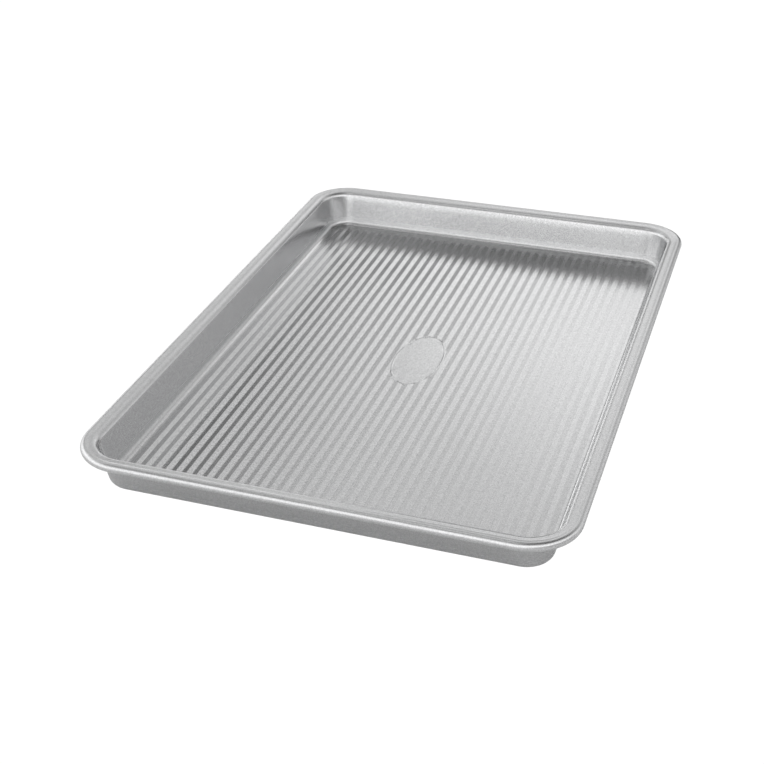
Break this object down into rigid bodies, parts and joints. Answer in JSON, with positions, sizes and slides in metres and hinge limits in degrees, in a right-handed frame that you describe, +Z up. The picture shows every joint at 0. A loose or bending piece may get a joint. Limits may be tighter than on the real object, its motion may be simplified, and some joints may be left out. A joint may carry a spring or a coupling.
{
  "type": "jelly roll pan",
  "caption": "Shallow rectangular baking pan with a fluted floor, leaning walls and a rim rolled outward round a stiffening wire; it rests on the underside of its flutes.",
  "frame": {"origin": "middle of the face that the pan rests on, under the middle of the floor", "axes": "+X across the flutes, +Y along the flutes, +Z up out of the pan"},
  "size_m": [0.273, 0.397, 0.0254],
  "materials": {
    "coated_sheet": "satin aluminised steel with a clear release coating and a fine speckled grain",
    "wire": "bare drawn wire"
  },
  "bodies": {
    "root": {"pan_shell": "coated_sheet", "rim_wire": "wire"}
  },
  "joints": []
}
